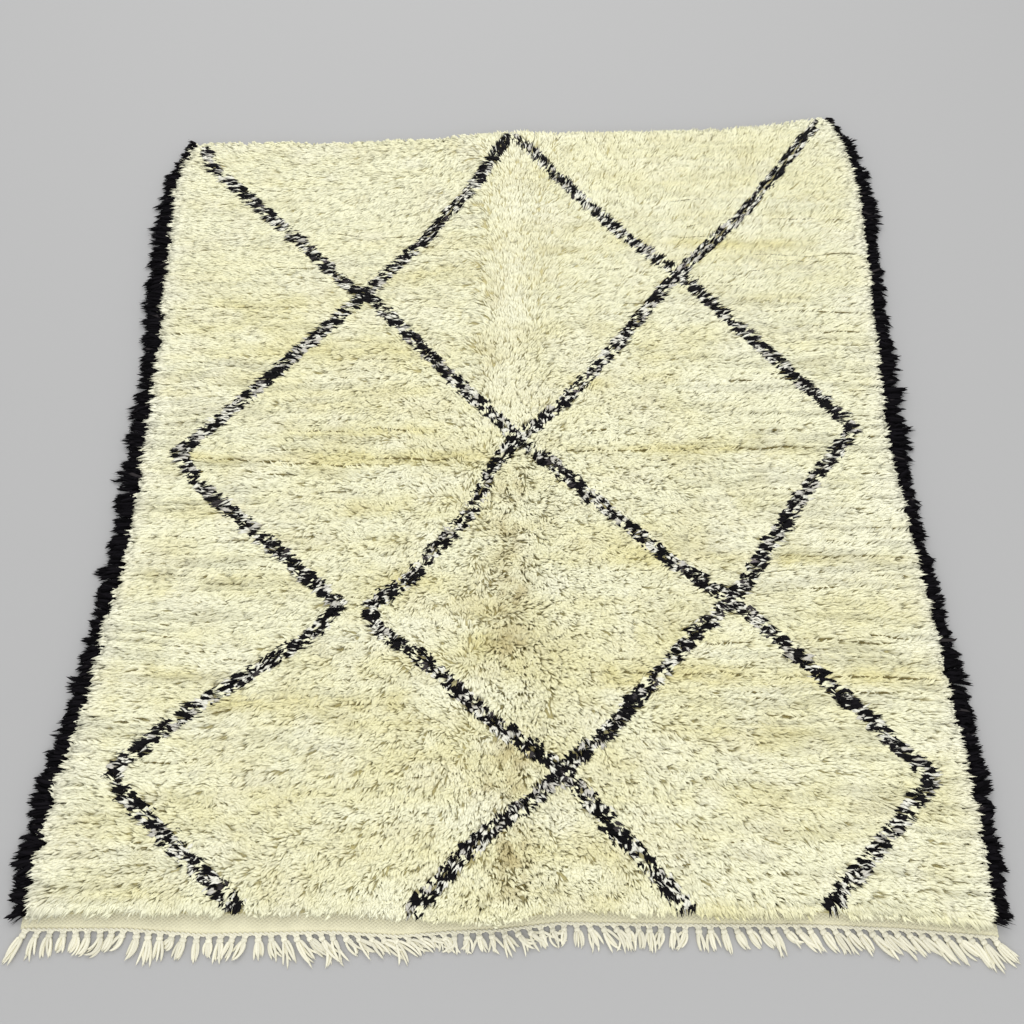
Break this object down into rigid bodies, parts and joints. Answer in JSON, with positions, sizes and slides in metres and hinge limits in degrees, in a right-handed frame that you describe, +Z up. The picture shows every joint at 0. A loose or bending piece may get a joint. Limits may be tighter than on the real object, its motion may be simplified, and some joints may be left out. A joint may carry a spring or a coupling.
{
  "type": "beni mrirt rug",
  "caption": "Thick hand-knotted wool rug lying flat, cream pile with a dark diamond lattice, shaggy black side edges and a knotted fringe at one end.",
  "frame": {"origin": "middle of the rug's footprint, on the floor that it lies on", "axes": "+X across the rug, +Y along it from the fringed end to the plain end, +Z up out of the pile"},
  "size_m": [1.5794, 1.7858, 0.0314],
  "materials": {
    "cream_pile_wool": "cut shaggy wool pile, matt with a soft lanolin sheen, dark lattice lines knotted in",
    "black_edging_wool": "long black wool tufts, matt",
    "ground_weave_wool": "tight undyed plain weave",
    "warp_yarn": "twisted undyed yarn, knotted"
  },
  "bodies": {
    "root": {"ground_weave": "ground_weave_wool", "pile_field": "cream_pile_wool", "edging_left": "black_edging_wool", "edging_right": "black_edging_wool", "fringe": "warp_yarn"}
  },
  "joints": []
}
